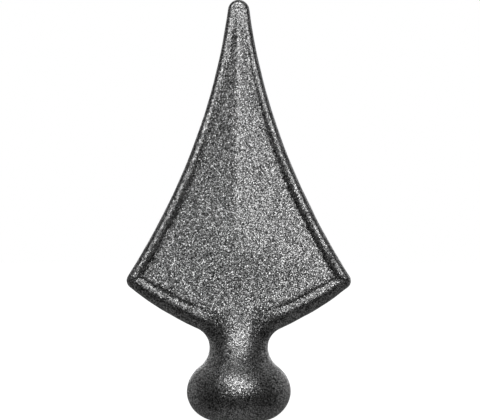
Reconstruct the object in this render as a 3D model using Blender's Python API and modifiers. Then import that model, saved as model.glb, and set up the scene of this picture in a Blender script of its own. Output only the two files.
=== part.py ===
"""Spear finial for a fence: a blade with raised rims, a short neck and a round knob, in one iron casting.

The finial stands on the flat underside of its knob, with its origin at the centre of that face.
+Z is up, X runs across the blade and Y through its thickness. The front faces -Y.
"""

import math

import bmesh
import bpy
import numpy as np

MM = 0.001

# Overall sizes
HEIGHT = 150 * MM
BLADE_WIDTH = 80 * MM
SHOULDER_HEIGHT = 49.3 * MM       # where the blade's sides and its lower edges would meet
TIP_RADIUS = 3.8 * MM
CORNER_RADIUS = 3.1 * MM
INNER_CORNER_RADIUS = 0.4 * MM

# Directions of the outline, in radians
TIP_ANGLE = math.radians(7.6)     # of the sides from the vertical, beside the tip
FLANK_ANGLE = math.radians(32.9)  # of the sides from the vertical, at the shoulders
SHOULDER_SLOPE = math.radians(41.7)  # of the lower edges below the horizontal, at the shoulders
NECK_SLOPE = math.radians(24.8)   # of the lower edges below the horizontal, at the neck

# Neck and knob
NECK_DIAMETER = 20.7 * MM
NECK_HEIGHT = 26.1 * MM           # of the narrowest place
NECK_HOLLOW_RADIUS = 7.2 * MM     # between the neck and the blade
KNOB_DIAMETER = 37 * MM
KNOB_EQUATOR_HEIGHT = 10.4 * MM
KNOB_CROWN_RADIUS = 10.7 * MM
THROAT_RADIUS = 24 * MM           # of the hollow down the neck's front
SEAT_DIAMETER = 19.6 * MM         # the flat underside that the finial stands on
SEAT_EDGE_ANGLE = math.radians(15)  # between the flat and the knob's side where they meet

# Thickness, each from the middle plane to one face
TIP_HALF_THICKNESS = 3.4 * MM
RIM_HALF_THICKNESS = 5.3 * MM     # of the rim's crest at the shoulders
RIDGE_HALF_THICKNESS = 7.3 * MM   # of the middle ridge at its highest
FOOT_HALF_THICKNESS = 6.1 * MM    # of the panel's middle at its lower end
RIDGE_TOP_HEIGHT = 66 * MM        # about where the ridge is highest
RIDGE_ROUNDING = 0.7 * MM         # near the tip
FOOT_ROUNDING = 14 * MM           # at the panel's lower end

# Raised rim: distances in from the outline to its crest, to the groove's bottom and to the panel's edge
TIP_CREST_INSET = 1.7 * MM
TIP_GROOVE_INSET = 2.4 * MM
TIP_PANEL_INSET = 2.8 * MM
FLANK_CREST_INSET = 1.7 * MM
FLANK_GROOVE_INSET = 4.5 * MM
FLANK_PANEL_INSET = 4.9 * MM
LOWER_CREST_INSET = 2.9 * MM
LOWER_GROOVE_INSET = 4.9 * MM
LOWER_PANEL_INSET = 6.1 * MM
NECK_CREST_INSET = 6.0 * MM
NECK_GROOVE_INSET = 7.5 * MM
NECK_PANEL_INSET = 8.7 * MM
FLANK_GROOVE_DEPTH = 1.15 * MM
LOWER_GROOVE_DEPTH = 0.1 * MM
PANEL_STEP = 0.35 * MM            # the panel's edge over the groove's bottom
SIDE_RIM_SQUARENESS = 0.42        # 1 is a round rim; less stands its side up, and more slants it
LOWER_RIM_SQUARENESS = 1.3

# Where one form runs out into the next
GROOVE_RUN_OUT = 75 * MM          # from the tip down, over which the side grooves deepen
INSET_TAPER = 70 * MM             # from the tip down, over which the rims widen
DEEP_GROOVE_START = 34 * MM       # from the axis, where the lower grooves begin to deepen to the corner
GROOVE_END = 5.5 * MM             # from the axis, where the lower grooves have gone
GROOVE_FADE = 6 * MM              # over which they go
STEP_END = 9 * MM                 # from the axis, where the panel's step has gone along the lower edge
STEP_FADE = 11 * MM               # over which it goes
RIDGE_FADE_START = 76 * MM        # heights between which the sharp ridge sinks and becomes a soft swell
RIDGE_FADE_END = 44 * MM
FOOT_TOP = 20 * MM                # above the neck's narrowest place, where the panel starts to join it
FOOT_BOTTOM = 4 * MM              # above the same place, where it has become the neck
NECK_BLEND = 8 * MM               # height over which the neck's round section becomes the blade's
NOSE_SLANT = 1.5 * MM             # how far the mesh lines drop towards the axis at the tip

# Mesh steps along the outline, from the tip to the underside, and across from the outline to the axis
TIP_STEPS = 4
FLANK_STEPS = 22
CORNER_STEPS = 6
SHOULDER_STEPS = 14
NECK_STEPS = 7
HOLLOW_STEPS = 5
CROWN_STEPS = 6
BASE_STEPS = 7
CREST_STEPS = 4
GROOVE_STEPS = 3
STEP_STEPS = 1
PANEL_STEPS = 4

SHARP_ANGLE = math.radians(40)
MERGE_DISTANCE = 0.01 * MM
MEETING_ROUNDS = 12               # of the search for the place where two curves meet

# The plain colour that stands for the iron in the solid model
IRON_COLOUR = (0.16, 0.16, 0.165, 1)
IRON_METALLIC = 0.9
IRON_ROUGHNESS = 0.55


def mix(a, b, share):
    """The value that lies the given share of the way from a to b."""
    return a + (b - a) * share


def ease(value, start, end):
    """0 at start and before it, 1 at end and past it, with a smooth S between them."""
    share = min(max((value - start) / (end - start), 0.0), 1.0)
    return share * share * (3 - 2 * share)


def turn(angle):
    """Unit vector at an angle from +X towards +Z."""
    return np.array([math.cos(angle), math.sin(angle)])


def crossing(point_a, direction_a, point_b, direction_b):
    """The point where two straight lines cross."""
    sides = np.column_stack((direction_a, -direction_b))
    along = np.linalg.solve(sides, point_b - point_a)[0]
    return point_a + direction_a * along


class Bend:
    """A smooth stretch of outline between two points with given end directions."""

    def __init__(self, start, start_direction, end, end_direction):
        self.start = start
        self.end = end
        self.middle = crossing(start, start_direction, end, end_direction)

    def at(self, share):
        """Point at a share of the stretch."""
        first = mix(self.start, self.middle, share)
        second = mix(self.middle, self.end, share)
        return mix(first, second, share)

    def inward(self, share):
        """Unit vector from the outline into the metal."""
        run = mix(self.middle - self.start, self.end - self.middle, share)
        return np.array([run[1], -run[0]]) / np.linalg.norm(run)


class Arc:
    """A round stretch of outline, bulging out or hollow."""

    def __init__(self, centre, radius, start_angle, end_angle, hollow=False):
        self.centre = centre
        self.radius = radius
        self.start_angle = start_angle
        self.end_angle = end_angle
        self.hollow = hollow

    def at(self, share):
        """Point at a share of the stretch."""
        return self.centre + turn(mix(self.start_angle, self.end_angle, share)) * self.radius

    def inward(self, share):
        """Unit vector from the outline into the metal."""
        away = turn(mix(self.start_angle, self.end_angle, share))
        return away if self.hollow else -away


class Oval:
    """The knob's lower side, a quarter of an oval cut short by the flat underside."""

    def __init__(self):
        last = math.pi / 2 - SEAT_EDGE_ANGLE
        self.across = (KNOB_DIAMETER - SEAT_DIAMETER) / 2 / (1 - math.cos(last))
        self.deep = KNOB_EQUATOR_HEIGHT / math.sin(last)
        self.last = last

    def at(self, share):
        """Point at a share of the stretch."""
        angle = self.last * share
        x = KNOB_DIAMETER / 2 - self.across * (1 - math.cos(angle))
        return np.array([x, KNOB_EQUATOR_HEIGHT - self.deep * math.sin(angle)])


def make_outline():
    """The stretches of the right-hand outline, from the tip down to the underside."""
    tip = Arc(np.array([0, HEIGHT - TIP_RADIUS]), TIP_RADIUS, math.pi / 2, TIP_ANGLE)

    # The corner's round end, and not the point where its sides would cross, is at half the blade's width
    above = math.pi / 2 - FLANK_ANGLE
    half_corner = (above + SHOULDER_SLOPE) / 2
    lean = (above - SHOULDER_SLOPE) / 2
    overshoot = CORNER_RADIUS * (math.cos(lean) / math.sin(half_corner) - 1)
    corner = np.array([BLADE_WIDTH / 2 + overshoot, SHOULDER_HEIGHT])
    flank = Bend(tip.at(1), turn(TIP_ANGLE - math.pi / 2), corner, turn(FLANK_ANGLE - math.pi / 2))

    neck_centre = np.array([NECK_DIAMETER / 2 + NECK_HOLLOW_RADIUS, NECK_HEIGHT])
    neck = Arc(neck_centre, NECK_HOLLOW_RADIUS, math.pi / 2 + NECK_SLOPE, math.pi, hollow=True)
    shoulder = Bend(corner, -turn(SHOULDER_SLOPE), neck.at(0), -turn(NECK_SLOPE))

    # A hollow and the knob's crown meet where they touch, so their radii add up to one that the sizes fix
    side = (KNOB_DIAMETER - NECK_DIAMETER) / 2
    drop = NECK_HEIGHT - KNOB_EQUATOR_HEIGHT
    both_radii = (side ** 2 + drop ** 2) / (2 * side)
    hollow_radius = both_radii - KNOB_CROWN_RADIUS
    touch = math.atan2(drop, both_radii - side)
    hollow_centre = np.array([NECK_DIAMETER / 2 + hollow_radius, NECK_HEIGHT])
    hollow = Arc(hollow_centre, hollow_radius, math.pi, math.pi + touch, hollow=True)
    crown_centre = np.array([KNOB_DIAMETER / 2 - KNOB_CROWN_RADIUS, KNOB_EQUATOR_HEIGHT])
    crown = Arc(crown_centre, KNOB_CROWN_RADIUS, touch, 0)
    return {"tip": tip, "flank": flank, "shoulder": shoulder, "neck": neck,
            "hollow": hollow, "crown": crown, "base": Oval()}


def rim_inset(z, at_tip, at_shoulder):
    """Distance of a rim line from the blade's side, which grows from the tip down."""
    return mix(at_tip, at_shoulder, min((HEIGHT - z) / INSET_TAPER, 1.0))


def crest_height(z):
    """Height of the side rims' crests over the middle plane."""
    share = (z - SHOULDER_HEIGHT) / (HEIGHT - SHOULDER_HEIGHT)
    return mix(RIM_HALF_THICKNESS, TIP_HALF_THICKNESS, share)


def ridge_height(z):
    """Height of the middle ridge, which rises from the tip and then sinks to the panel's lower end."""
    share = (z - RIDGE_TOP_HEIGHT) / (HEIGHT - RIDGE_TOP_HEIGHT)
    rising = mix(RIDGE_HALF_THICKNESS, TIP_HALF_THICKNESS, share)
    return mix(rising, FOOT_HALF_THICKNESS, ease(z, RIDGE_FADE_START, RIDGE_FADE_END))


def front_height(z):
    """Height of the neck's and the knob's front over the middle plane, from the panel's end to the equator.

    A hollow leaves the panel's end upright and runs down until it touches the knob's crown.
    """
    crown_x = KNOB_DIAMETER / 2 - KNOB_CROWN_RADIUS
    hollow_x = FOOT_HALF_THICKNESS + THROAT_RADIUS
    across = hollow_x - crown_x
    drop = math.sqrt((THROAT_RADIUS + KNOB_CROWN_RADIUS) ** 2 - across ** 2)
    hollow_z = KNOB_EQUATOR_HEIGHT + drop
    touch_z = KNOB_EQUATOR_HEIGHT + KNOB_CROWN_RADIUS * drop / (THROAT_RADIUS + KNOB_CROWN_RADIUS)
    if z >= hollow_z:
        return FOOT_HALF_THICKNESS
    if z >= touch_z:
        return hollow_x - math.sqrt(THROAT_RADIUS ** 2 - (hollow_z - z) ** 2)
    return crown_x + math.sqrt(KNOB_CROWN_RADIUS ** 2 - (z - KNOB_EQUATOR_HEIGHT) ** 2)


def offset_curve(stretch, inset):
    """A stretch moved into the metal by an inset that may depend on the height."""
    def moved(share):
        point = stretch.at(share)
        return point + stretch.inward(share) * inset(point[1])
    return moved


def slope_of(curve, share):
    """How fast a curve moves with its share."""
    small = 0.0001
    return (curve(share + small) - curve(share - small)) / (2 * small)


def meet(curve_a, curve_b):
    """The shares at which the end of one curve meets the start of the next."""
    share_a, share_b = 1.0, 0.0
    for _ in range(MEETING_ROUNDS):
        gap = curve_b(share_b) - curve_a(share_a)
        sides = np.column_stack((slope_of(curve_a, share_a), -slope_of(curve_b, share_b)))
        change = np.linalg.solve(sides, gap)
        share_a += change[0]
        share_b += change[1]
    return share_a, share_b


def corner_points(flank, shoulder, share_a, share_b, radius, steps):
    """The rounded corner between two curves, and the shares where it leaves them."""
    vertex = flank(share_a)
    up = -slope_of(flank, share_a)
    down = slope_of(shoulder, share_b)
    up_unit = up / np.linalg.norm(up)
    down_unit = down / np.linalg.norm(down)
    half = math.acos(float(up_unit @ down_unit)) / 2
    cut = radius / math.tan(half)
    middle = up_unit + down_unit
    centre = vertex + middle / np.linalg.norm(middle) * radius / math.sin(half)
    start = vertex + up_unit * cut - centre
    end = vertex + down_unit * cut - centre
    first = math.atan2(start[1], start[0])
    last = math.atan2(end[1], end[0])
    points = [centre + turn(mix(first, last, step / steps)) * radius for step in range(1, steps)]
    return points, share_a - cut / np.linalg.norm(up), share_b + cut / np.linalg.norm(down)


def rim_line(outline, tip_inset, flank_inset, lower_inset, neck_inset):
    """One line of the blade that runs beside its outline, from the axis at the tip to the neck."""
    def beside_flank(z):
        return rim_inset(z, tip_inset, flank_inset)

    def beside_shoulder(z):
        return mix(neck_inset, lower_inset, (z - NECK_HEIGHT) / (SHOULDER_HEIGHT - NECK_HEIGHT))

    tip = offset_curve(outline["tip"], beside_flank)
    flank = offset_curve(outline["flank"], beside_flank)
    shoulder = offset_curve(outline["shoulder"], beside_shoulder)
    neck = offset_curve(outline["neck"], beside_shoulder)
    share_a, share_b = meet(flank, shoulder)
    radius = max(CORNER_RADIUS - (flank_inset + lower_inset) / 2, INNER_CORNER_RADIUS)
    corner, flank_end, shoulder_start = corner_points(
        flank, shoulder, share_a, share_b, radius, CORNER_STEPS)

    points = [tip(step / TIP_STEPS) for step in range(TIP_STEPS)]
    points += [flank(flank_end * step / FLANK_STEPS) for step in range(FLANK_STEPS + 1)]
    points += corner
    points += [shoulder(mix(shoulder_start, 1, step / SHOULDER_STEPS)) for step in range(SHOULDER_STEPS)]
    points += [neck(step / NECK_STEPS) for step in range(NECK_STEPS + 1)]
    return np.array(points)


def rim_profile():
    """Rows across the rim, from the outline to the panel's edge.

    Each has its insets beside the tip, the flank, the lower edge and the neck. Its three numbers are
    shares of the crest's height for a round rim, of the groove's depth and of the panel's step.
    """
    crest = np.array((TIP_CREST_INSET, FLANK_CREST_INSET, LOWER_CREST_INSET, NECK_CREST_INSET))
    groove = np.array((TIP_GROOVE_INSET, FLANK_GROOVE_INSET, LOWER_GROOVE_INSET, NECK_GROOVE_INSET))
    panel = np.array((TIP_PANEL_INSET, FLANK_PANEL_INSET, LOWER_PANEL_INSET, NECK_PANEL_INSET))
    rows = []
    for step in range(CREST_STEPS + 1):
        angle = math.pi / 2 * step / CREST_STEPS
        rows.append((crest * (1 - math.cos(angle)), math.sin(angle), 0.0, 0.0))
    for step in range(1, GROOVE_STEPS + 1):
        share = step / GROOVE_STEPS
        rows.append((mix(crest, groove, share), 1.0, 1 - math.cos(math.pi / 2 * share), 0.0))
    for step in range(1, STEP_STEPS + 1):
        share = step / STEP_STEPS
        rows.append((mix(groove, panel, share), 1.0, 1.0, share))
    return rows


def groove_strength(point, on_lower_edge):
    """Depth of the groove and height of the panel's step at one place along the outline."""
    if on_lower_edge:
        fade = ease(point[0], GROOVE_END, GROOVE_END + GROOVE_FADE)
        step_fade = ease(point[0], STEP_END, STEP_END + STEP_FADE)
        corner_share = ease(point[0], DEEP_GROOVE_START, BLADE_WIDTH / 2)
        return mix(LOWER_GROOVE_DEPTH, FLANK_GROOVE_DEPTH, corner_share) * fade, PANEL_STEP * step_fade
    fade = min((HEIGHT - point[1]) / GROOVE_RUN_OUT, 1.0)
    return FLANK_GROOVE_DEPTH * fade, PANEL_STEP * fade


def rim_squareness(point, on_lower_edge):
    """How square the rim is at one place along the outline."""
    if on_lower_edge:
        corner_share = ease(point[0], DEEP_GROOVE_START, BLADE_WIDTH / 2)
        return mix(LOWER_RIM_SQUARENESS, SIDE_RIM_SQUARENESS, corner_share)
    return SIDE_RIM_SQUARENESS


def panel_height(x, z, edge_x, edge_height):
    """Height of the panel, a slope up from its side edge to the ridge, which joins the neck below."""
    rounding = mix(RIDGE_ROUNDING, FOOT_ROUNDING, ease(z, RIDGE_FADE_START, RIDGE_FADE_END))
    share = 1.0
    if edge_x > MERGE_DISTANCE:
        share = 1 - (math.hypot(x, rounding) - rounding) / (math.hypot(edge_x, rounding) - rounding)
    panel = mix(edge_height, ridge_height(z), share)
    return mix(panel, front_height(z), ease(z, NECK_HEIGHT + FOOT_TOP, NECK_HEIGHT + FOOT_BOTTOM))


def blade_rows(outline):
    """Rows of points (x, z, height) over the blade, each from the outline in to the axis."""
    profile = rim_profile()
    lines = [rim_line(outline, *insets) for insets, _, _, _ in profile]
    crest_line = lines[CREST_STEPS]
    panel_line = lines[-1]
    corner_station = TIP_STEPS + FLANK_STEPS + CORNER_STEPS // 2
    corner_x, corner_z = panel_line[corner_station]
    rows = []
    for station, (edge_x, edge_z) in enumerate(panel_line):
        on_lower_edge = station > corner_station
        depth, step = groove_strength(crest_line[station], on_lower_edge)
        squareness = rim_squareness(crest_line[station], on_lower_edge)
        # Below the shoulders the panel keeps the slope it would have if its side edges ran on down
        side_height = crest_height(edge_z) - FLANK_GROOVE_DEPTH + PANEL_STEP
        side_x = corner_x + (corner_z - edge_z) * math.tan(FLANK_ANGLE)
        if on_lower_edge:
            crest = panel_height(edge_x, edge_z, side_x, side_height) + depth - step
        else:
            crest = crest_height(crest_line[station][1])
            side_height = crest - depth + step
            side_x = edge_x
        row = []
        for line, (_, rise, groove, edge) in zip(lines, profile):
            x, z = line[station]
            row.append((x, z, crest * rise ** squareness - depth * groove + step * edge))
        slant = NOSE_SLANT * ease(edge_z, HEIGHT - GROOVE_RUN_OUT, HEIGHT)
        for column in range(1, PANEL_STEPS + 1):
            share = column / PANEL_STEPS
            x = edge_x * (1 - share)
            z = edge_z - slant * share
            row.append((x, z, panel_height(x, z, side_x, side_height)))
        rows.append(row)
    return rows


def round_row(half_width, z, half_depth, columns):
    """A row of points (x, z, height) around a quarter of an oval section."""
    row = []
    for column in range(columns + 1):
        angle = math.pi / 2 * column / columns
        row.append((half_width * math.cos(angle), z, half_depth * math.sin(angle)))
    return row


def surface_rows():
    """Rows of points (x, z, height) over a quarter of the finial, from the tip to the underside."""
    outline = make_outline()
    rows = blade_rows(outline)
    columns = len(rows[0]) - 1
    blended = []
    for row in rows:
        half_width, z, _ = row[0]
        blade_share = ease(z, NECK_HEIGHT, NECK_HEIGHT + NECK_BLEND)
        if z < SHOULDER_HEIGHT and blade_share < 1:
            section = round_row(half_width, z, front_height(z), columns)
            row = [tuple(mix(np.array(a), np.array(b), blade_share)) for a, b in zip(section, row)]
        blended.append(row)
    for name, steps in (("hollow", HOLLOW_STEPS), ("crown", CROWN_STEPS), ("base", BASE_STEPS)):
        for step in range(1, steps + 1):
            half_width, z = outline[name].at(step / steps)
            half_depth = half_width if name == "base" else front_height(z)
            blended.append(round_row(half_width, z, half_depth, columns))
    return blended


def make_quarter_mesh():
    """The front right quarter of the surface, with half of the flat underside, open at X = 0 and Y = 0."""
    rows = surface_rows()
    columns = len(rows[0]) - 1
    mesh = bmesh.new()
    grid = []
    for number, row in enumerate(rows):
        line = []
        for column, (x, z, height) in enumerate(row):
            on_axis = column == columns or number == 0
            on_parting = column == 0
            line.append(mesh.verts.new((0 if on_axis else x, 0 if on_parting else -height, z)))
        grid.append(line)
    for upper, lower in zip(grid, grid[1:]):
        for column in range(columns):
            mesh.faces.new((upper[column], upper[column + 1], lower[column + 1], lower[column]))
    middle = mesh.verts.new((0, 0, 0))
    seat = grid[-1]
    for column in range(columns):
        mesh.faces.new((seat[column], seat[column + 1], middle))
    data = bpy.data.meshes.new("spear_finial")
    mesh.to_mesh(data)
    mesh.free()
    return data


def make_material():
    """Raw grey cast iron."""
    material = bpy.data.materials.new("raw_cast_iron")
    material.use_nodes = True
    shader = material.node_tree.nodes["Principled BSDF"]
    shader.inputs["Base Color"].default_value = IRON_COLOUR
    shader.inputs["Metallic"].default_value = IRON_METALLIC
    shader.inputs["Roughness"].default_value = IRON_ROUGHNESS
    return material


def main():
    """Clears the scene and builds the finial in its own collection."""
    for old in list(bpy.data.objects):
        bpy.data.objects.remove(old, do_unlink=True)

    collection = bpy.data.collections.new("fence_finial")
    bpy.context.scene.collection.children.link(collection)

    data = make_quarter_mesh()
    finial = bpy.data.objects.new("spear_finial", data)
    collection.objects.link(finial)
    data.materials.append(make_material())
    data.shade_smooth()
    data.set_sharp_from_angle(angle=SHARP_ANGLE)

    mirror = finial.modifiers.new("both_sides", "MIRROR")
    mirror.use_axis = (True, True, False)
    mirror.use_clip = True
    mirror.merge_threshold = MERGE_DISTANCE


main()
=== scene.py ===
"""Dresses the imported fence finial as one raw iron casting, on a pale floor in soft studio light.

The casting is lofted finely from the same forms as its solid, remeshed to even cells, and roughened by a
Geometry Nodes skin of sand-cast lumps, grit, pits and the line where the two mould halves met.
"""

import logging
import math
from dataclasses import dataclass, field
from enum import Enum
from functools import partial
from typing import Any, Callable

import bmesh
import bpy
import numpy as np
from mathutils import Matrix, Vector


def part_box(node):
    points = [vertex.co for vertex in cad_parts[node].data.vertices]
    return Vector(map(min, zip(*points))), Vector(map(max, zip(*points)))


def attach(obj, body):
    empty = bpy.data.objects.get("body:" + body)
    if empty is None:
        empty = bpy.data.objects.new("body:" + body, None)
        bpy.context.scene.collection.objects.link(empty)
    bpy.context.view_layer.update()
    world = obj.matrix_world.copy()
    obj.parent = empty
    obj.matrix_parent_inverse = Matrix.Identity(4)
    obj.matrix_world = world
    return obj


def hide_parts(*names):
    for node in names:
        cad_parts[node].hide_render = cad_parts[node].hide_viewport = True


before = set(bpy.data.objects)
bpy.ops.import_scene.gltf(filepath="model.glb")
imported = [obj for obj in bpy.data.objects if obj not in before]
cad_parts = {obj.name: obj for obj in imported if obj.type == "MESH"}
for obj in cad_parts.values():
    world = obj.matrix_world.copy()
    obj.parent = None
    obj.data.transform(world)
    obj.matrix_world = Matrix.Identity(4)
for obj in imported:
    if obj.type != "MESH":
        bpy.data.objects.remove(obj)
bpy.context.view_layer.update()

MM = 0.001
NODE = "spear_finial"
IMAGE_WIDTH_PX = 480
IMAGE_HEIGHT_PX = 420
NO_WIDTH = 1e-9
MEETING_ROUNDS = 12
SMALL_SHARE = 0.0001
SKIN_SIZES = ("Lump Size", "Lump Height", "Grit Size", "Grit Height", "Pit Radius", "Pit Depth", "Pits",
              "Parting Height", "Parting Width", "Seat Band")

LOG = logging.getLogger("fence_finial")

Curve = Callable[[np.ndarray], np.ndarray]


def linear(hex_colour: str) -> tuple[float, float, float, float]:
    """Turns an sRGB hex colour to linear values.

    Args:
        hex_colour: Six hex digits after a hash.

    Returns:
        Red, green, blue and an alpha of 1.
    """
    parts = [int(hex_colour[place:place + 2], 16) / 255 for place in (1, 3, 5)]
    values = [part / 12.92 if part <= 0.04045 else ((part + 0.055) / 1.055) ** 2.4 for part in parts]
    return (values[0], values[1], values[2], 1.0)


def add_node(
    tree: bpy.types.NodeTree,
    kind: str,
    settings: dict[str, Any] | None = None,
    inputs: dict[str | int, Any] | None = None,
) -> bpy.types.Node:
    """Adds a node, sets its properties and fills its inputs.

    Args:
        tree: Node tree that takes the node.
        kind: Blender's identifier of the node type.
        settings: Property names and values.
        inputs: Input names or numbers, each with a plain value, an output socket to link, or a node
            whose first output is linked.

    Returns:
        The new node.
    """
    node = tree.nodes.new(kind)
    for name, value in (settings or {}).items():
        setattr(node, name, value)
    for key, value in (inputs or {}).items():
        socket = node.inputs[key]
        if isinstance(value, bpy.types.Node):
            value = value.outputs[0]
        if isinstance(value, bpy.types.NodeSocket):
            tree.links.new(value, socket)
        else:
            socket.default_value = value
    return node


def mix(low: Any, high: Any, share: Any) -> Any:
    """The value that lies the given share of the way from low to high."""
    return low + (high - low) * share


def ease(value: Any, start: float, end: float) -> Any:
    """0 at start, 1 at end, with a smooth S between them and no change outside."""
    share = np.clip((value - start) / (end - start), 0.0, 1.0)
    return share * share * (3 - 2 * share)


def turn(angle: Any) -> np.ndarray:
    """Unit vectors at angles from +X towards +Z."""
    return np.stack((np.cos(angle), np.sin(angle)), axis=-1)


class RimPlace(Enum):
    """The places along the outline where the rim's widths are measured."""

    TIP = 0
    FLANK = 1
    LOWER = 2
    NECK = 3


@dataclass(frozen=True)
class RimWidths:
    """Distances in from the outline to the rim's crest, the groove's bottom and the panel's edge."""

    crest: float
    groove: float
    panel: float


@dataclass(frozen=True)
class Bend:
    """A smooth stretch of outline between two points with given end directions."""

    start: np.ndarray
    start_direction: np.ndarray
    end: np.ndarray
    end_direction: np.ndarray

    def middle(self) -> np.ndarray:
        """The point where the two end directions cross."""
        sides = np.column_stack((self.start_direction, -self.end_direction))
        return self.start + self.start_direction * np.linalg.solve(sides, self.end - self.start)[0]

    def at(self, share: np.ndarray) -> np.ndarray:
        """Points at shares of the stretch."""
        middle, part = self.middle(), np.asarray(share)[:, None]
        return mix(mix(self.start, middle, part), mix(middle, self.end, part), part)

    def inward(self, share: np.ndarray) -> np.ndarray:
        """Finds the directions from the outline into the metal.

        Args:
            share: From 0 at the start to 1 at the end.

        Returns:
            Unit vectors (x, z).
        """
        middle = self.middle()
        run = mix(middle - self.start, self.end - middle, np.asarray(share)[:, None])
        across = np.column_stack((run[:, 1], -run[:, 0]))
        return across / np.linalg.norm(across, axis=1)[:, None]


@dataclass(frozen=True)
class Arc:
    """A round stretch of outline, bulging out or hollow."""

    centre: np.ndarray
    radius: float
    start_angle: float
    end_angle: float
    hollow: bool = False

    def at(self, share: np.ndarray) -> np.ndarray:
        """Points at shares of the stretch."""
        return self.centre + turn(mix(self.start_angle, self.end_angle, np.asarray(share))) * self.radius

    def inward(self, share: np.ndarray) -> np.ndarray:
        """Unit vectors from the outline into the metal."""
        away = turn(mix(self.start_angle, self.end_angle, np.asarray(share)))
        return away if self.hollow else -away


@dataclass(frozen=True)
class Envelope:
    """The casting's outer sizes, read from its solid.

    Attributes:
        height: From the underside to the tip.
        blade_width: Across the shoulders.
        knob_diameter: Through the knob, the thickest place.
    """

    height: float
    blade_width: float
    knob_diameter: float

    @classmethod
    def of_node(cls, node: str) -> "Envelope":
        """Reads the sizes from a node's box."""
        low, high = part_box(node)
        return cls(high[2] - low[2], high[0] - low[0], high[1] - low[1])


@dataclass
class SpearForm:
    """The finial's smooth form: its outline, and the relief of its rims, grooves, panel and ridge.

    Thicknesses are measured from the middle plane. Angles of the sides are from the vertical, and
    slopes of the lower edges are below the horizontal.

    Attributes:
        envelope: The outer sizes, from the solid.
        shoulder_height: Where the blade's sides and its lower edges would meet.
        neck_height: Height of the narrowest place.
        neck_hollow_radius: Between the neck and the blade.
        throat_radius: Of the hollow down the neck's front.
        seat_diameter: Across the flat underside.
        rim_half_thickness: At the crest beside the shoulders.
        ridge_half_thickness: At the middle ridge's highest, about at ridge_top_height.
        foot_half_thickness: At the panel's lower end.
        ridge_rounding: Of the ridge near the tip, as foot_rounding is at the panel's lower end.
        panel_step: The panel's edge over the groove's bottom.
        side_rim_squareness: 1 is a round rim. Less stands its side up, and more slants it.
        groove_run_out: From the tip down, over which the side grooves deepen.
        inset_taper: From the tip down, over which the rims widen.
        deep_groove_start: From the axis, where the lower grooves begin to deepen to the corner.
        groove_fade: Distances from the axis between which the lower grooves set in.
        step_fade: Distances from the axis between which the lower step sets in.
        ridge_fade: Heights between which the sharp ridge becomes a soft swell.
        foot: Heights over the neck's narrowest place between which the panel becomes the neck.
        neck_blend: Height over which the neck's round section becomes the blade's.
        nose_slant: How far the mesh lines drop towards the axis at the tip.
        rims: The rim's widths at each place.
    """

    envelope: Envelope
    shoulder_height: float = 49.3 * MM
    tip_radius: float = 3.8 * MM
    corner_radius: float = 3.1 * MM
    inner_corner_radius: float = 0.4 * MM
    tip_angle: float = math.radians(7.6)
    flank_angle: float = math.radians(32.9)
    shoulder_slope: float = math.radians(41.7)
    neck_slope: float = math.radians(24.8)
    neck_diameter: float = 20.7 * MM
    neck_height: float = 26.1 * MM
    neck_hollow_radius: float = 7.2 * MM
    equator_height: float = 10.4 * MM
    crown_radius: float = 10.7 * MM
    throat_radius: float = 24 * MM
    seat_diameter: float = 19.6 * MM
    seat_edge_angle: float = math.radians(15)
    tip_half_thickness: float = 3.4 * MM
    rim_half_thickness: float = 5.3 * MM
    ridge_half_thickness: float = 7.3 * MM
    foot_half_thickness: float = 6.1 * MM
    ridge_top_height: float = 66 * MM
    ridge_rounding: float = 0.7 * MM
    foot_rounding: float = 14 * MM
    flank_groove_depth: float = 1.15 * MM
    lower_groove_depth: float = 0.1 * MM
    panel_step: float = 0.35 * MM
    side_rim_squareness: float = 0.42
    lower_rim_squareness: float = 1.3
    groove_run_out: float = 75 * MM
    inset_taper: float = 70 * MM
    deep_groove_start: float = 34 * MM
    groove_fade: tuple[float, float] = (5.5 * MM, 11.5 * MM)
    step_fade: tuple[float, float] = (9 * MM, 20 * MM)
    ridge_fade: tuple[float, float] = (76 * MM, 44 * MM)
    foot: tuple[float, float] = (20 * MM, 4 * MM)
    neck_blend: float = 8 * MM
    nose_slant: float = 1.5 * MM
    rims: dict[RimPlace, RimWidths] = field(default_factory=lambda: {
        RimPlace.TIP: RimWidths(1.7 * MM, 2.4 * MM, 2.8 * MM),
        RimPlace.FLANK: RimWidths(1.7 * MM, 4.5 * MM, 4.9 * MM),
        RimPlace.LOWER: RimWidths(2.9 * MM, 4.9 * MM, 6.1 * MM),
        RimPlace.NECK: RimWidths(6.0 * MM, 7.5 * MM, 8.7 * MM),
    })
    tip_steps: int = 20
    flank_steps: int = 170
    corner_steps: int = 16
    shoulder_steps: int = 70
    neck_steps: int = 30
    hollow_steps: int = 20
    crown_steps: int = 30
    base_steps: int = 30
    crest_steps: int = 14
    groove_steps: int = 9
    step_steps: int = 3
    panel_steps: int = 36

    def tip(self) -> Arc:
        """The rounded tip."""
        centre = np.array([0, self.envelope.height - self.tip_radius])
        return Arc(centre, self.tip_radius, math.pi / 2, self.tip_angle)

    def neck(self) -> Arc:
        """The hollow between the neck and the blade."""
        centre = np.array([self.neck_diameter / 2 + self.neck_hollow_radius, self.neck_height])
        return Arc(centre, self.neck_hollow_radius, math.pi / 2 + self.neck_slope, math.pi, hollow=True)

    def corner(self) -> np.ndarray:
        """Finds where the side and the lower edge would meet if the corner weren't rounded.

        Returns:
            The point (x, z).
        """
        above = math.pi / 2 - self.flank_angle
        half_corner = (above + self.shoulder_slope) / 2
        lean = (above - self.shoulder_slope) / 2
        overshoot = self.corner_radius * (math.cos(lean) / math.sin(half_corner) - 1)
        return np.array([self.envelope.blade_width / 2 + overshoot, self.shoulder_height])

    def flank(self) -> Bend:
        """Makes the hollow side of the blade.

        Returns:
            The stretch from the tip to the shoulder.
        """
        start = self.tip().at(np.array([1.0]))[0]
        down = -math.pi / 2
        return Bend(start, turn(down + self.tip_angle), self.corner(), turn(down + self.flank_angle))

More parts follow.
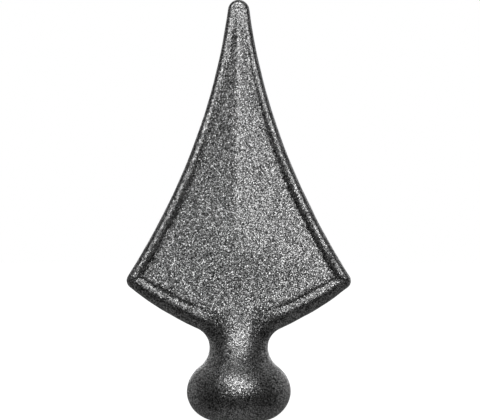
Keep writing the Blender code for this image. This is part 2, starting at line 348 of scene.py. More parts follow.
    def shoulder(self) -> Bend:
        """The blade's lower edge."""
        end = self.neck().at(np.array([0.0]))[0]
        return Bend(self.corner(), -turn(self.shoulder_slope), end, -turn(self.neck_slope))

    def knob_outline(self) -> np.ndarray:
        """Makes the outline of the lower neck and the knob.

        Returns:
            Points (half width, height) from below the narrowest place down to the underside.
        """
        half_knob = self.envelope.knob_diameter / 2
        side = (self.envelope.knob_diameter - self.neck_diameter) / 2
        drop = self.neck_height - self.equator_height
        both_radii = (side ** 2 + drop ** 2) / (2 * side)
        hollow_radius = both_radii - self.crown_radius
        touch = math.atan2(drop, both_radii - side)
        hollow_centre = np.array([self.neck_diameter / 2 + hollow_radius, self.neck_height])
        hollow = Arc(hollow_centre, hollow_radius, math.pi, math.pi + touch, hollow=True)
        crown_centre = np.array([half_knob - self.crown_radius, self.equator_height])
        crown = Arc(crown_centre, self.crown_radius, touch, 0)
        last = math.pi / 2 - self.seat_edge_angle
        angle = last * np.linspace(0, 1, self.base_steps + 1)[1:]
        across = (self.envelope.knob_diameter - self.seat_diameter) / 2 / (1 - math.cos(last))
        deep = self.equator_height / math.sin(last)
        base = np.column_stack((half_knob - across * (1 - np.cos(angle)),
                                self.equator_height - deep * np.sin(angle)))
        return np.concatenate((hollow.at(np.linspace(0, 1, self.hollow_steps + 1)[1:]),
                               crown.at(np.linspace(0, 1, self.crown_steps + 1)[1:]), base))

    def crest_height(self, z: Any) -> Any:
        """Height of the side rims' crests over the middle plane."""
        share = (z - self.shoulder_height) / (self.envelope.height - self.shoulder_height)
        return mix(self.rim_half_thickness, self.tip_half_thickness, share)

    def ridge_height(self, z: Any) -> Any:
        """Height of the middle ridge, which rises from the tip and then sinks to the panel's end.

        Args:
            z: Heights above the underside.

        Returns:
            Heights over the middle plane.
        """
        share = (z - self.ridge_top_height) / (self.envelope.height - self.ridge_top_height)
        rising = mix(self.ridge_half_thickness, self.tip_half_thickness, share)
        return mix(rising, self.foot_half_thickness, ease(z, *self.ridge_fade))

    def front_height(self, z: np.ndarray) -> np.ndarray:
        """Height of the neck's and the knob's front over the middle plane.

        Args:
            z: Heights above the underside, from the panel's end to the equator.

        Returns:
            A hollow that leaves the panel's end upright and runs down to touch the knob's crown.
        """
        crown_x = self.envelope.knob_diameter / 2 - self.crown_radius
        hollow_x = self.foot_half_thickness + self.throat_radius
        both_radii = self.throat_radius + self.crown_radius
        drop = math.sqrt(both_radii ** 2 - (hollow_x - crown_x) ** 2)
        below = np.clip(self.equator_height + drop - z, 0, None)
        hollow = hollow_x - np.sqrt(np.clip(self.throat_radius ** 2 - below ** 2, 0, None))
        over_equator = np.clip(z - self.equator_height, 0, self.crown_radius)
        crown = crown_x + np.sqrt(self.crown_radius ** 2 - over_equator ** 2)
        touch_z = self.equator_height + self.crown_radius * drop / both_radii
        return np.where(z >= touch_z, hollow, crown)

    def panel_height(
        self, x: np.ndarray, z: np.ndarray, edge_x: np.ndarray, edge_height: np.ndarray
    ) -> np.ndarray:
        """Height of the panel over the middle plane.

        Args:
            x: Distances from the axis.
            z: Heights above the underside.
            edge_x: Distances from the axis to the panel's side edge at those heights.
            edge_height: Heights of that edge over the middle plane.

        Returns:
            A slope up from the edge to the ridge, which softens and joins the neck below.
        """
        rounding = mix(self.ridge_rounding, self.foot_rounding, ease(z, *self.ridge_fade))
        widest = np.maximum(np.hypot(edge_x, rounding) - rounding, NO_WIDTH)
        share = 1 - (np.hypot(x, rounding) - rounding) / widest
        panel = mix(edge_height, self.ridge_height(z), share)
        foot_top, foot_bottom = self.foot
        foot = ease(z, self.neck_height + foot_top, self.neck_height + foot_bottom)
        return mix(panel, self.front_height(z), foot)

    def beside(
        self, stretch: Bend | Arc, insets: np.ndarray, lower: bool, share: np.ndarray
    ) -> np.ndarray:
        """Finds points on a line that runs beside one stretch of outline.

        Args:
            stretch: The stretch of outline.
            insets: Distances in from the outline at each RimPlace.
            lower: Whether the stretch lies below the shoulders.
            share: Shares of the stretch.

        Returns:
            Points (x, z).
        """
        tip_inset, flank_inset, lower_inset, neck_inset = insets
        points = stretch.at(share)
        z = points[:, 1]
        if lower:
            from_neck = (z - self.neck_height) / (self.shoulder_height - self.neck_height)
            inset = mix(neck_inset, lower_inset, from_neck)
        else:
            from_tip = np.clip((self.envelope.height - z) / self.inset_taper, 0, 1)
            inset = mix(tip_inset, flank_inset, from_tip)
        return points + stretch.inward(share) * inset[:, None]

    def rim_line(self, insets: np.ndarray) -> np.ndarray:
        """Makes one line that runs beside the outline, from the axis at the tip to the neck.

        Args:
            insets: Distances in from the outline at each RimPlace.

        Returns:
            Points (x, z), one for each station along the outline.
        """
        tip = partial(self.beside, self.tip(), insets, False)
        flank = partial(self.beside, self.flank(), insets, False)
        shoulder = partial(self.beside, self.shoulder(), insets, True)
        neck = partial(self.beside, self.neck(), insets, True)
        mean_inset = (insets[RimPlace.FLANK.value] + insets[RimPlace.LOWER.value]) / 2
        radius = max(self.corner_radius - mean_inset, self.inner_corner_radius)
        corner, flank_end, shoulder_start = rounded_corner(flank, shoulder, radius, self.corner_steps)
        return np.concatenate((
            tip(np.linspace(0, 1, self.tip_steps + 1)[:-1]),
            flank(np.linspace(0, flank_end, self.flank_steps + 1)),
            corner,
            shoulder(np.linspace(shoulder_start, 1, self.shoulder_steps + 1)[:-1]),
            neck(np.linspace(0, 1, self.neck_steps + 1)),
        ))

    def rim_profile(self) -> list[tuple[np.ndarray, float, float, float]]:
        """Lays out the rows across the rim, from the outline to the panel's edge.

        Returns:
            For each row its insets at each RimPlace, and its shares of the crest's height, of the
            groove's depth and of the panel's step.
        """
        crest, groove, panel = (np.array([getattr(self.rims[place], line) for place in RimPlace])
                                for line in ("crest", "groove", "panel"))
        rows = []
        for angle in np.linspace(0, math.pi / 2, self.crest_steps + 1):
            rows.append((crest * (1 - math.cos(angle)), math.sin(angle), 0.0, 0.0))
        for share in np.linspace(0, 1, self.groove_steps + 1)[1:]:
            rows.append((mix(crest, groove, share), 1.0, 1 - math.cos(math.pi / 2 * share), 0.0))
        for share in np.linspace(0, 1, self.step_steps + 1)[1:]:
            rows.append((mix(groove, panel, share), 1.0, 1.0, float(ease(share, 0, 1))))
        return rows

    def blade_grid(self) -> np.ndarray:
        """Makes the blade's surface.

        Returns:
            Points (x, z, height), by station along the outline and column from it to the axis.
        """
        profile = self.rim_profile()
        lines = np.stack([self.rim_line(insets) for insets, _, _, _ in profile], axis=1)
        crest = lines[:, self.crest_steps]
        edge_x, edge_z = lines[:, -1, 0], lines[:, -1, 1]
        stations = np.arange(len(lines))
        corner_station = self.tip_steps + self.flank_steps + self.corner_steps // 2
        lower = stations > corner_station

        # The groove deepens from the tip down, and fades along the lower edge towards the neck
        fade = np.clip((self.envelope.height - crest[:, 1]) / self.groove_run_out, 0, 1)
        corner_share = ease(crest[:, 0], self.deep_groove_start, self.envelope.blade_width / 2)
        lower_depth = mix(self.lower_groove_depth, self.flank_groove_depth, corner_share)
        lower_depth = lower_depth * ease(crest[:, 0], *self.groove_fade)
        depth = np.where(lower, lower_depth, self.flank_groove_depth * fade)
        step = self.panel_step * np.where(lower, ease(crest[:, 0], *self.step_fade), fade)
        lower_squareness = mix(self.lower_rim_squareness, self.side_rim_squareness, corner_share)
        squareness = np.where(lower, lower_squareness, self.side_rim_squareness)

        # Below the shoulders the panel keeps the slope it would have if its side edges ran on down
        extended_height = self.crest_height(edge_z) - self.flank_groove_depth + self.panel_step
        below_corner = edge_z[corner_station] - edge_z
        extended_x = edge_x[corner_station] + below_corner * math.tan(self.flank_angle)
        lower_crest = self.panel_height(edge_x, edge_z, extended_x, extended_height) + depth - step
        crest_rise = np.where(lower, lower_crest, self.crest_height(crest[:, 1]))
        side_height = np.where(lower, extended_height, crest_rise - depth + step)
        side_x = np.where(lower, extended_x, edge_x)

        rises = [crest_rise * rise ** squareness - depth * groove + step * edge
                 for _, rise, groove, edge in profile]
        rim = np.concatenate((lines, np.stack(rises, axis=1)[:, :, None]), axis=2)
        share = np.linspace(0, 1, self.panel_steps + 1)[1:]
        slant_start = self.envelope.height - self.groove_run_out
        slant = self.nose_slant * ease(edge_z, slant_start, self.envelope.height)
        x = edge_x[:, None] * (1 - share)
        z = edge_z[:, None] - slant[:, None] * share
        height = self.panel_height(x, z, side_x[:, None], side_height[:, None])
        return np.concatenate((rim, np.stack((x, z, height), axis=2)), axis=1)

    def surface_grid(self) -> np.ndarray:
        """Makes a quarter of the finial's surface.

        Returns:
            Points (x, z, height), in rows from the tip down to the underside.
        """
        blade = self.blade_grid()
        columns = blade.shape[1]
        half_width, z = blade[:, 0, 0], blade[:, 0, 1]
        blade_share = ease(z, self.neck_height, self.neck_height + self.neck_blend)
        neck = ovals(half_width, z, self.front_height(z), columns)
        upper = mix(neck, blade, blade_share[:, None, None])
        knob_width, knob_z = self.knob_outline().T
        knob_depth = np.where(knob_z < self.equator_height, knob_width, self.front_height(knob_z))
        return np.concatenate((upper, ovals(knob_width, knob_z, knob_depth, columns)))


def ovals(half_width: np.ndarray, z: np.ndarray, half_depth: np.ndarray, columns: int) -> np.ndarray:
    """Makes a quarter of an oval section at each of several heights.

    Args:
        half_width: Half of each oval's width.
        z: Their heights.
        half_depth: Half of each oval's depth.
        columns: Number of points around the quarter.

    Returns:
        Points (x, z, height), by height and by column from the side to the front.
    """
    angle = np.linspace(0, math.pi / 2, columns)
    across = half_width[:, None] * np.cos(angle)
    level = np.repeat(z[:, None], columns, axis=1)
    forward = half_depth[:, None] * np.sin(angle)
    return np.stack((across, level, forward), axis=2)


def slope_of(curve: Curve, share: float) -> np.ndarray:
    """How fast a curve moves with its share."""
    ends = curve(np.array([share - SMALL_SHARE, share + SMALL_SHARE]))
    return (ends[1] - ends[0]) / (2 * SMALL_SHARE)


def rounded_corner(
    flank: Curve, shoulder: Curve, radius: float, steps: int
) -> tuple[np.ndarray, float, float]:
    """Rounds the corner where the end of one curve meets the start of the next.

    Args:
        flank: The curve that comes down to the corner.
        shoulder: The curve that leaves it.
        radius: The corner's radius.
        steps: Number of steps around it.

    Returns:
        The points between its ends, and the shares where it leaves the two curves.
    """
    share_a, share_b = 1.0, 0.0
    for _ in range(MEETING_ROUNDS):
        gap = shoulder(np.array([share_b]))[0] - flank(np.array([share_a]))[0]
        sides = np.column_stack((slope_of(flank, share_a), -slope_of(shoulder, share_b)))
        change = np.linalg.solve(sides, gap)
        share_a += change[0]
        share_b += change[1]
    vertex = flank(np.array([share_a]))[0]
    up, down = -slope_of(flank, share_a), slope_of(shoulder, share_b)
    up_length, down_length = np.linalg.norm(up), np.linalg.norm(down)
    up_unit, down_unit = up / up_length, down / down_length
    half = math.acos(float(up_unit @ down_unit)) / 2
    cut = radius / math.tan(half)
    middle = up_unit + down_unit
    centre = vertex + middle / np.linalg.norm(middle) * radius / math.sin(half)
    start, end = vertex + up_unit * cut - centre, vertex + down_unit * cut - centre
    first, last = math.atan2(start[1], start[0]), math.atan2(end[1], end[0])
    points = centre + turn(np.linspace(first, last, steps + 1)[1:-1]) * radius
    return points, share_a - cut / up_length, share_b + cut / down_length


@dataclass(frozen=True)
class RawCastIron:
    """Grey iron, sand cast and shot-blasted, with no paint.

    The mould's sand leaves an even grit and blasting makes it glint in small points. A painted highlight
    lightens the upper crests, and painted shade darkens the grooves and pits.

    Attributes:
        skin_hex: Colour of the blasted skin.
        painted_highlight_hex: Colour of the painted highlight on the upper crests.
        painted_shade_hex: Colour of the painted shade in the grooves and pits.
        metallic: Iron's share of metal.
        roughness_low: Roughness on top of the grit.
        roughness_high: Roughness between it.
        grit_size: Size of the swells under the grains.
        grain_size: Size of one grain.
        cloud_size: Size of the broad cloudy patches.
        detail_roughness: How much each finer level of noise counts.
        grit_contrast: How much the swells change the shade, as a power of e.
        grain_contrast: How much the grains do.
        cloud_contrast: How much the cloudy patches do.
        grain_tilt: How far a grain's facet leans.
        brightest: The most that a grain reflects.
        painted_highlight: Crest values over which the painted highlight grows from none to full.
        highlight_heights: Heights over which the painted highlight grows from none to full.
        dark: Crest values over which the painted shade grows from none to full, down in the grooves.
        pit_shade: Relief values over which the painted shade grows from none to full, down in the pits.
        grit_range: Noise values between which the roughness changes.
        bump_height: Height of the grit's bumps.
    """

    skin_hex: str = "#999999"
    painted_highlight_hex: str = "#b2b2b2"
    painted_shade_hex: str = "#363636"
    metallic: float = 1.0
    roughness_low: float = 0.34
    roughness_high: float = 0.44
    grit_size: float = 0.8 * MM
    grain_size: float = 0.27 * MM
    cloud_size: float = 9 * MM
    detail_roughness: float = 0.65
    grit_contrast: float = 0.6
    grain_contrast: float = 4.6
    cloud_contrast: float = 0.9
    grain_tilt: float = 0.20
    brightest: float = 0.92
    painted_highlight: tuple[float, float] = (0.2, 2.0)
    highlight_heights: tuple[float, float] = (38 * MM, 58 * MM)
    dark: tuple[float, float] = (-0.5, -2.4)
    pit_shade: tuple[float, float] = (-0.3, -1.3)
    grit_range: tuple[float, float] = (0.3, 0.7)
    bump_height: float = 0.06 * MM

    def build(self) -> bpy.types.Material:
        """Makes the material.

        Returns:
            The material, which reads Object coordinates and the skin's own attributes.
        """
        material = bpy.data.materials.new("sand_cast_shot_blasted_iron")
        material.use_nodes = True
        tree = material.node_tree
        add = partial(add_node, tree)
        shader = tree.nodes["Principled BSDF"]
        shader.inputs["Metallic"].default_value = self.metallic
        place = add("ShaderNodeTexCoord").outputs["Object"]
        height = add("ShaderNodeSeparateXYZ", inputs={0: place}).outputs["Z"]
        crest, relief = (add("ShaderNodeAttribute", {"attribute_name": name}).outputs["Fac"]
                         for name in ("crest", "relief"))

        # The grains are of the real size, 0.2 to 0.5 mm. The swells are coarsened to two pixels to show
        grit, cloud = (add("ShaderNodeTexNoise", inputs={
            "Vector": place, "Scale": 1 / size, "Detail": detail, "Roughness": self.detail_roughness})
            for size, detail in ((self.grit_size, 2.0), (self.cloud_size, 4.0)))
        grains = add("ShaderNodeTexVoronoi", inputs={
            "Vector": place, "Scale": 1 / self.grain_size}).outputs["Color"]

        # A painted highlight lightens the upper blade's crests, and painted shade darkens the grooves
        # and pits
        proud, highlight_by_height, groove_shade, pit_shade = (add("ShaderNodeMapRange", inputs={
            "Value": value, "From Min": start, "From Max": end})
            for value, (start, end) in (
                (crest, self.painted_highlight), (height, self.highlight_heights), (crest, self.dark), (relief, self.pit_shade)))
        # Painted highlight: the crest share, weighted towards the upper blade
        painted_highlight = add("ShaderNodeMath", {"operation": "MULTIPLY"}, {0: proud, 1: highlight_by_height})
        # Painted shade: the greater of the groove share and the pit share
        dark = add("ShaderNodeMath", {"operation": "MAXIMUM"}, {0: groove_shade, 1: pit_shade})
        colour: Any = linear(self.skin_hex)
        # The painted highlight and the painted shade are mixed into the skin's colour
        for share, hex_colour in ((painted_highlight, self.painted_highlight_hex), (dark, self.painted_shade_hex)):
            colour = add("ShaderNodeMix", {"data_type": "RGBA"}, {
                0: share, 6: colour, 7: linear(hex_colour)}).outputs[2]

        # Each grain reflects more or less than its neighbours, by a factor as often over 1 as under it
        shade = add("ShaderNodeSeparateXYZ", inputs={0: grains}).outputs["Y"]
        patterns = (
            (grit, self.grit_contrast), (shade, self.grain_contrast), (cloud, self.cloud_contrast))
        power: Any = -sum(contrast for _, contrast in patterns) / 2
        for pattern, contrast in patterns:
            power = add("ShaderNodeMath", {"operation": "MULTIPLY_ADD"}, {
                0: pattern, 1: contrast, 2: power})
        factor = add("ShaderNodeMath", {"operation": "EXPONENT"}, {0: power})
        speckled = add("ShaderNodeVectorMath", {"operation": "SCALE"}, {0: colour, "Scale": factor})
        clipped = add("ShaderNodeVectorMath", {"operation": "MINIMUM"}, {
            0: speckled, 1: (self.brightest,) * 3})
        rough = add("ShaderNodeMapRange", inputs={
            "Value": grit, "From Min": self.grit_range[0], "From Max": self.grit_range[1],
            "To Min": self.roughness_high, "To Max": self.roughness_low})

        # Each grain's facet leans its own way, so that some glint and others stay dark
        lean = add("ShaderNodeVectorMath", {"operation": "MULTIPLY_ADD"}, {
            0: grains, 1: (2 * self.grain_tilt,) * 3, 2: (-self.grain_tilt,) * 3})
        bump = add("ShaderNodeBump", inputs={
            "Height": grit, "Distance": self.bump_height, "Strength": 1.0})
        leaning = add("ShaderNodeVectorMath", {"operation": "ADD"}, {0: bump, 1: lean})
        facing = add("ShaderNodeVectorMath", {"operation": "NORMALIZE"}, {0: leaning})
        for name, node in (("Base Color", clipped), ("Roughness", rough), ("Normal", facing)):
            tree.links.new(node.outputs[0], shader.inputs[name])
        return material


@dataclass
class CastSkin:
    """The skin that sand moulding leaves: soft lumps, grit, pits and the mould halves' parting line.

    Attributes:
        lump_size: Width of the soft lumps.
        lump_height: How far they stand out.
        grit_size: Width of the grit.
        grit_height: How far it stands out.
        pit_radius: Radius of the widest pit.
        pit_depth: Depth of the deepest pit.
        pits: How many lie on a square metre.
        smallest_pit: Size of the smallest pit as a share of the widest.
        parting_height: How far the parting line stands out.
        parting_width: Half its width.
        parting_kept: Noise values from ground away to whole.
        seat_band: Height over the underside in which the skin fades, so that the seat stays flat.
        crest_reach: Width of the neighbourhood that a crest stands over.
        crest_unit: Height that counts as 1 in the crest attribute.
        seed: Of the noise and the pits.
    """

    lump_size: float = 7 * MM
    lump_height: float = 0.08 * MM
    grit_size: float = 1.3 * MM
    grit_height: float = 0.03 * MM
    pit_radius: float = 0.75 * MM
    pit_depth: float = 0.16 * MM
    pits: float = 16000.0
    smallest_pit: float = 0.35
    parting_height: float = 0.14 * MM
    parting_width: float = 0.45 * MM
    parting_kept: tuple[float, float] = (-0.5, 0.4)
    seat_band: float = 0.8 * MM
    crest_reach: float = 1.96 * MM
    crest_unit: float = 0.1 * MM
    seed: int = 11

    def tree(self, cell: float) -> bpy.types.NodeTree:
        """Builds the node group, with an input for each size that is named for its field.

        Args:
            cell: Edge of the mesh cells that carry the skin.

        Returns:
            The Geometry Nodes tree.
        """
        tree = bpy.data.node_groups.new("cast_skin", "GeometryNodeTree")
        add = partial(add_node, tree)
        tree.interface.new_socket("Geometry", in_out="INPUT", socket_type="NodeSocketGeometry")
        for name in SKIN_SIZES:
            tree.interface.new_socket(name, in_out="INPUT", socket_type="NodeSocketFloat")
        tree.interface.new_socket("Seed", in_out="INPUT", socket_type="NodeSocketInt")
        tree.interface.new_socket("Iron", in_out="INPUT", socket_type="NodeSocketMaterial")
        tree.interface.new_socket("Geometry", in_out="OUTPUT", socket_type="NodeSocketGeometry")
        given = add("NodeGroupInput").outputs
        place = add("GeometryNodeInputPosition")
        normal = add("GeometryNodeInputNormal")
        parts = add("ShaderNodeSeparateXYZ", inputs={0: place}).outputs

        # Three noises swing about zero, for the lumps, the grit and the wear of the parting line
        swings = []
        for size, detail in (("Lump Size", 2.0), ("Grit Size", 3.0), ("Lump Size", 0.0)):
            scale = add("ShaderNodeMath", {"operation": "DIVIDE"}, {0: 1.0, 1: given[size]})
            noise = add("ShaderNodeTexNoise", {"noise_dimensions": "4D"}, {
                "Vector": place, "W": given["Seed"], "Scale": scale, "Detail": detail})
            swings.append(add("ShaderNodeMath", {"operation": "MULTIPLY_ADD"}, {
                0: noise, 1: 2.0, 2: -1.0}))
        lumps, grit, wear = swings

        # Each pit is a soft bowl around a scattered point, with a size of its own
        points = add("GeometryNodeDistributePointsOnFaces", inputs={
            "Mesh": given["Geometry"], "Density": given["Pits"], "Seed": given["Seed"]})
        near = add("GeometryNodeProximity", {"target_element": "POINTS"}, {
            0: points}).outputs["Distance"]
        index = add("GeometryNodeSampleNearest", inputs={"Geometry": points})
        spread = add("FunctionNodeRandomValue", {"data_type": "FLOAT"}, {
            2: self.smallest_pit, 3: 1.0, "ID": index, "Seed": given["Seed"]}).outputs[1]
        radius, depth = (add("ShaderNodeMath", {"operation": "MULTIPLY"}, {
            0: given[name], 1: spread}) for name in ("Pit Radius", "Pit Depth"))
        bowl = add("ShaderNodeMapRange", {"interpolation_type": "SMOOTHSTEP"}, {
            "Value": near, "From Min": 0.0, "From Max": radius, "To Min": 1.0, "To Max": 0.0})
        pit = add("ShaderNodeMath", {"operation": "MULTIPLY"}, {0: bowl, 1: depth})

        # The parting line is a low hill along the middle plane, ground away in places
        off_plane = add("ShaderNodeMath", {"operation": "DIVIDE"}, {
            0: parts["Y"], 1: given["Parting Width"]})
        squared = add("ShaderNodeMath", {"operation": "MULTIPLY"}, {0: off_plane, 1: off_plane})
        falling = add("ShaderNodeMath", {"operation": "MULTIPLY"}, {0: squared, 1: -1.0})
        hill = add("ShaderNodeMath", {"operation": "EXPONENT"}, {0: falling})
        kept = add("ShaderNodeMapRange", inputs={
            "Value": wear, "From Min": self.parting_kept[0], "From Max": self.parting_kept[1]})
        parting = add("ShaderNodeMath", {"operation": "MULTIPLY"}, {0: hill, 1: kept})

        # The three raised forms add up, the pits are taken off, and the seat stays flat
        rise: Any = 0.0
        for form, name in ((lumps, "Lump Height"), (grit, "Grit Height"), (parting, "Parting Height")):
            rise = add("ShaderNodeMath", {"operation": "MULTIPLY_ADD"}, {
                0: form, 1: given[name], 2: rise})
        rough = add("ShaderNodeMath", {"operation": "SUBTRACT"}, {0: rise, 1: pit})
        off_seat = add("ShaderNodeMapRange", {"interpolation_type": "SMOOTHSTEP"}, {
            "Value": parts["Z"], "From Min": 0.0, "From Max": given["Seat Band"]})
        move = add("ShaderNodeMath", {"operation": "MULTIPLY"}, {0: rough, 1: off_seat})
        offset = add("ShaderNodeVectorMath", {"operation": "SCALE"}, {0: normal, "Scale": move})

        # The crest attribute says how far a point stands over its neighbourhood
        rounds = round((self.crest_reach / cell) ** 2)
        smooth = add("GeometryNodeBlurAttribute", {"data_type": "FLOAT_VECTOR"}, {
            "Value": place, "Iterations": rounds})
        above = add("ShaderNodeVectorMath", {"operation": "SUBTRACT"}, {0: place, 1: smooth})
        proud = add("ShaderNodeVectorMath", {"operation": "DOT_PRODUCT"}, {
            0: above, 1: normal}).outputs["Value"]
        crest = add("ShaderNodeMath", {"operation": "DIVIDE"}, {0: proud, 1: self.crest_unit})
        relief = add("ShaderNodeMath", {"operation": "SUBTRACT"}, {0: grit, 1: bowl})

        marked = given["Geometry"]
        for name, value in (("crest", crest), ("relief", relief)):
            marked = add("GeometryNodeStoreNamedAttribute", {
                "data_type": "FLOAT", "domain": "POINT"}, {
                "Geometry": marked, "Name": name, "Value": value})
        moved = add("GeometryNodeSetPosition", inputs={"Geometry": marked, "Offset": offset})
        real = add("GeometryNodeRealizeInstances", inputs={0: moved})
        clad = add("GeometryNodeSetMaterial", inputs={"Geometry": real, "Material": given["Iron"]})
        add("NodeGroupOutput", inputs={0: clad})
        return tree

    def add_to(self, piece: bpy.types.Object, iron: bpy.types.Material, cell: float) -> None:
        """Puts the skin on a piece as its last modifier.

        Args:
            piece: The mesh object that takes the skin.
            iron: The material that the skin sets.
            cell: Edge of the piece's mesh cells.
        """
        modifier = piece.modifiers.new("cast_skin", "NODES")
        modifier.node_group = self.tree(cell)
        values = {name: getattr(self, name.lower().replace(" ", "_")) for name in (*SKIN_SIZES, "Seed")}
        values["Iron"] = iron
        for socket in modifier.node_group.interface.items_tree:
            if socket.in_out == "INPUT" and socket.name in values:
                modifier[socket.identifier] = values[socket.name]


@dataclass
class SpearCasting:
    """The whole finial as one casting.

    Attributes:
        form: Its smooth form.
        skin: The roughness of its surface.
        finish: Its material.
        cell: Edge of the even mesh cells that carry the skin.
        merge_distance: Gap across which the mirrored halves join.
    """

    form: SpearForm
    skin: CastSkin = field(default_factory=CastSkin)
    finish: RawCastIron = field(default_factory=RawCastIron)
    cell: float = 0.45 * MM
    merge_distance: float = 0.01 * MM

    def quarter(self) -> bpy.types.Mesh:
        """Lofts the front right quarter of the surface.

        Returns:
            A mesh that is open at X = 0 and Y = 0.
        """
        grid = self.form.surface_grid()
        grid[0, :, 0] = 0
        grid[:, -1, 0] = 0
        grid[:, 0, 2] = 0
        columns = grid.shape[1]
        mesh = bmesh.new()
        verts = [[mesh.verts.new((x, -height, z)) for x, z, height in row] for row in grid]
        for upper, lower in zip(verts, verts[1:]):
            for column in range(columns - 1):
                mesh.faces.new((upper[column], upper[column + 1], lower[column + 1], lower[column]))
        middle = mesh.verts.new((0, 0, 0))
        for column in range(columns - 1):
            mesh.faces.new((verts[-1][column], verts[-1][column + 1], middle))
        data = bpy.data.meshes.new("spear_quarter")
        mesh.to_mesh(data)
        mesh.free()
        return data

    def build(self) -> bpy.types.Object:
        """Lofts, mirrors, remeshes and roughens the casting.

        Returns:
            The finished piece, riding on the root body in place of its solid.
        """
        rough = bpy.data.objects.new("spear_rough", self.quarter())
        bpy.context.scene.collection.objects.link(rough)
        mirror = rough.modifiers.new("both_sides", "MIRROR")
        mirror.use_axis = (True, True, False)
        mirror.merge_threshold = self.merge_distance
        even = rough.modifiers.new("even_cells", "REMESH")
        even.mode = "VOXEL"
        even.voxel_size = self.cell
        even.use_smooth_shade = True
        self.skin.add_to(rough, self.finish.build(), self.cell)
        depsgraph = bpy.context.evaluated_depsgraph_get()
        data = bpy.data.meshes.new_from_object(rough.evaluated_get(depsgraph))
        bpy.data.objects.remove(rough, do_unlink=True)
        data.name = "spear_casting"
        data.shade_smooth()
        piece = bpy.data.objects.new("spear_casting", data)
        bpy.context.scene.collection.objects.link(piece)
        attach(piece, "root")
        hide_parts(NODE)
        return piece


@dataclass(frozen=True)
class PaleFloor:
    """A matt white floor, lit evenly from within so that it meets the white background without a line.

    Attributes:
        paper_hex: Its colour.
        roughness: Its roughness, that of matt paper.
        glow_near: Its own light under the finial, a little less so that a soft shade stays there.
        glow_far: Its own light further out.
        near: Distance from the finial at which the light starts to grow.
        far: Distance at which it is full.
    """

    paper_hex: str = "#f4f4f4"
    roughness: float = 0.9
    glow_near: float = 0.90
    glow_far: float = 1.0
    near: float = 0.10
    far: float = 0.40

    def build(self) -> bpy.types.Material:
        """Makes the material.

        Returns:
            The material.
        """
        material = bpy.data.materials.new("matt_white_floor")
        material.use_nodes = True
        tree = material.node_tree
        add = partial(add_node, tree)
        shader = tree.nodes["Principled BSDF"]
        shader.inputs["Base Color"].default_value = linear(self.paper_hex)
        shader.inputs["Roughness"].default_value = self.roughness
        shader.inputs["Specular IOR Level"].default_value = 0.0
        shader.inputs["Emission Color"].default_value = (1, 1, 1, 1)
        place = add("ShaderNodeTexCoord").outputs["Object"]
        away = add("ShaderNodeVectorMath", {"operation": "LENGTH"}, {0: place}).outputs["Value"]
        glow = add("ShaderNodeMapRange", inputs={
            "Value": away, "From Min": self.near, "From Max": self.far,
            "To Min": self.glow_near, "To Max": self.glow_far}).outputs[0]
        tree.links.new(glow, shader.inputs["Emission Strength"])
        return material


@dataclass(frozen=True)
class SoftBox:
    """One round studio light, which the camera doesn't see.

    Attributes:
        name: What it is.
        place: Where it stands, in metres.
        width: Its diameter in metres.
        power: In watts.
    """

    name: str
    place: tuple[float, float, float]
    width: float
    power: float

    def build(self, target: Vector) -> bpy.types.Object:
        """Places the light and turns it to the target.

        Args:
            target: The point it shines at.

        Returns:
            The light.
        """
        data = bpy.data.lights.new(self.name, "AREA")
        data.shape = "DISK"
        data.size = self.width
        data.energy = self.power
        lamp = bpy.data.objects.new(self.name, data)
        lamp.visible_camera = False
        lamp.location = self.place
        lamp.rotation_euler = (target - lamp.location).to_track_quat("-Z", "Y").to_euler()
        bpy.context.scene.collection.objects.link(lamp)
        return lamp


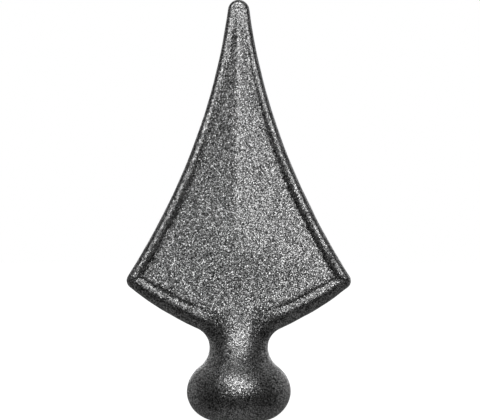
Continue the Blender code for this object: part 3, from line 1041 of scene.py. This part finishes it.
@dataclass
class Studio:
    """Floor, background, lights and camera.

    Attributes:
        lights: The soft boxes.
        camera_azimuth: Degrees around from straight in front, towards +X.
        lens: Focal length in millimetres.
        sensor: Width of the sensor in millimetres.
        far_clip: How far the camera sees, in metres.
        pixel: Real size of one image pixel at the finial.
        axis_px: Column of the finial's axis in the image.
        seat_px: Row of its underside in the image.
        floor_half: Half the floor's width in metres.
        front_glow: Strength of the room's weak light from the front.
        floor_glow: Strength of the light that comes straight up.
        backdrop_glow: Strength of the light from the pale backdrop.
        backdrop_turn: Forward parts of the directions between which the front gives way to the backdrop.
        backdrop_low: Upward parts of the directions over which the backdrop grows from its foot up.
        backdrop_foot: Share of the backdrop's light at its foot.
        straight_down: Upward parts of the directions over which the floor's glow sets in.
    """

    lights: tuple[SoftBox, ...] = (
        SoftBox("front_softbox", (0.0, -0.3, 0.12), 0.10, 0.13),
        SoftBox("right_softbox", (0.1, -0.3, 0.20), 0.10, 0.105),
        SoftBox("high_left_softbox", (-0.1, -0.3, 0.45), 0.12, 0.24),
        SoftBox("high_softbox", (0.0, -0.3, 0.45), 0.12, 0.18),
        SoftBox("back_left_softbox", (-0.1, 0.45, 0.08), 0.16, 0.12),
        SoftBox("back_right_softbox", (0.1, 0.45, 0.08), 0.16, 0.07),
    )
    camera_azimuth: float = 2.5
    lens: float = 290.0
    sensor: float = 36.0
    far_clip: float = 50.0
    pixel: float = 150 / 420.3 * MM
    axis_px: float = 238.7
    seat_px: float = 420.3
    floor_half: float = 4.0
    front_glow: float = 0.04
    floor_glow: float = 0.12
    backdrop_glow: float = 0.26
    backdrop_turn: tuple[float, float] = (0.15, 0.6)
    backdrop_low: tuple[float, float] = (-0.5, 0.0)
    backdrop_foot: float = 0.4
    straight_down: tuple[float, float] = (-0.7, -0.95)

    def build(self) -> None:
        """Makes the floor, the background, the lights and the camera."""
        self.make_floor()
        self.make_background()
        target = Vector((0, 0, (self.seat_px - IMAGE_HEIGHT_PX / 2) * self.pixel))
        for box in self.lights:
            box.build(target)
        self.make_camera(target)

    def make_floor(self) -> None:
        """A plain floor that only the camera sees, so that it doesn't light the iron from below."""
        data = bpy.data.meshes.new("floor")
        half = self.floor_half
        corner_points = [(-half, -half, 0), (half, -half, 0), (half, half, 0), (-half, half, 0)]
        data.from_pydata(corner_points, [], [(0, 1, 2, 3)])
        data.materials.append(PaleFloor().build())
        floor = bpy.data.objects.new("floor", data)
        floor.visible_glossy = False
        floor.visible_diffuse = False
        bpy.context.scene.collection.objects.link(floor)

    def make_background(self) -> None:
        """White to the camera, while the iron's far side and edges get the light of a pale backdrop."""
        world = bpy.data.worlds.new("studio")
        world.use_nodes = True
        tree = world.node_tree
        tree.nodes.clear()
        add = partial(add_node, tree)
        seen = add("ShaderNodeBackground", inputs={"Color": (1, 1, 1, 1), "Strength": 1.0})
        direction = add("ShaderNodeTexCoord").outputs["Generated"]
        towards = add("ShaderNodeSeparateXYZ", inputs={0: direction}).outputs

        # The pale backdrop stands behind and ends at the floor, which gives a weak glow straight up
        backdrop, foot, upward = (add("ShaderNodeMapRange", inputs={
            "Value": towards[axis], "From Min": start, "From Max": end, "To Min": low, "To Max": high})
            for axis, (start, end), low, high in (
                ("Y", self.backdrop_turn, self.front_glow, self.backdrop_glow),
                ("Z", self.backdrop_low, self.backdrop_foot, 1.0),
                ("Z", self.straight_down, 0.0, self.floor_glow)))
        glow = add("ShaderNodeMath", {"operation": "MULTIPLY_ADD"}, {0: backdrop, 1: foot, 2: upward})
        felt = add("ShaderNodeBackground", inputs={"Color": (1, 1, 1, 1), "Strength": glow})
        ray = add("ShaderNodeLightPath").outputs["Is Camera Ray"]
        both = add("ShaderNodeMixShader", inputs={0: ray, 1: felt, 2: seen})
        add("ShaderNodeOutputWorld", inputs={"Surface": both})
        bpy.context.scene.world = world

    def make_camera(self, target: Vector) -> None:
        """A level camera, placed so that the finial fills the frame as in the photograph.

        Args:
            target: The point on the axis at the image's middle height.
        """
        data = bpy.data.cameras.new("camera")
        data.lens = self.lens
        data.sensor_width = self.sensor
        data.clip_end = self.far_clip
        camera = bpy.data.objects.new("camera", data)
        around = math.radians(self.camera_azimuth)
        towards = Vector((math.sin(around), -math.cos(around), 0))
        right = Vector((math.cos(around), math.sin(around), 0))
        distance = self.lens / self.sensor * IMAGE_WIDTH_PX * self.pixel
        aim = target + right * (IMAGE_WIDTH_PX / 2 - self.axis_px) * self.pixel
        camera.location = aim + towards * distance
        camera.rotation_euler = (-towards).to_track_quat("-Z", "Y").to_euler()
        bpy.context.scene.collection.objects.link(camera)
        bpy.context.scene.camera = camera


def main() -> None:
    """Builds the casting and the studio."""
    logging.basicConfig(level=logging.INFO, format="%(message)s")
    casting = SpearCasting(SpearForm(Envelope.of_node(NODE))).build()
    LOG.info("%s: %d faces", casting.name, len(casting.data.polygons))
    Studio().build()
    LOG.info("studio: floor, background, lights and camera")
    bpy.context.scene.view_settings.view_transform = "Standard"


if __name__ == "__main__":
    main()
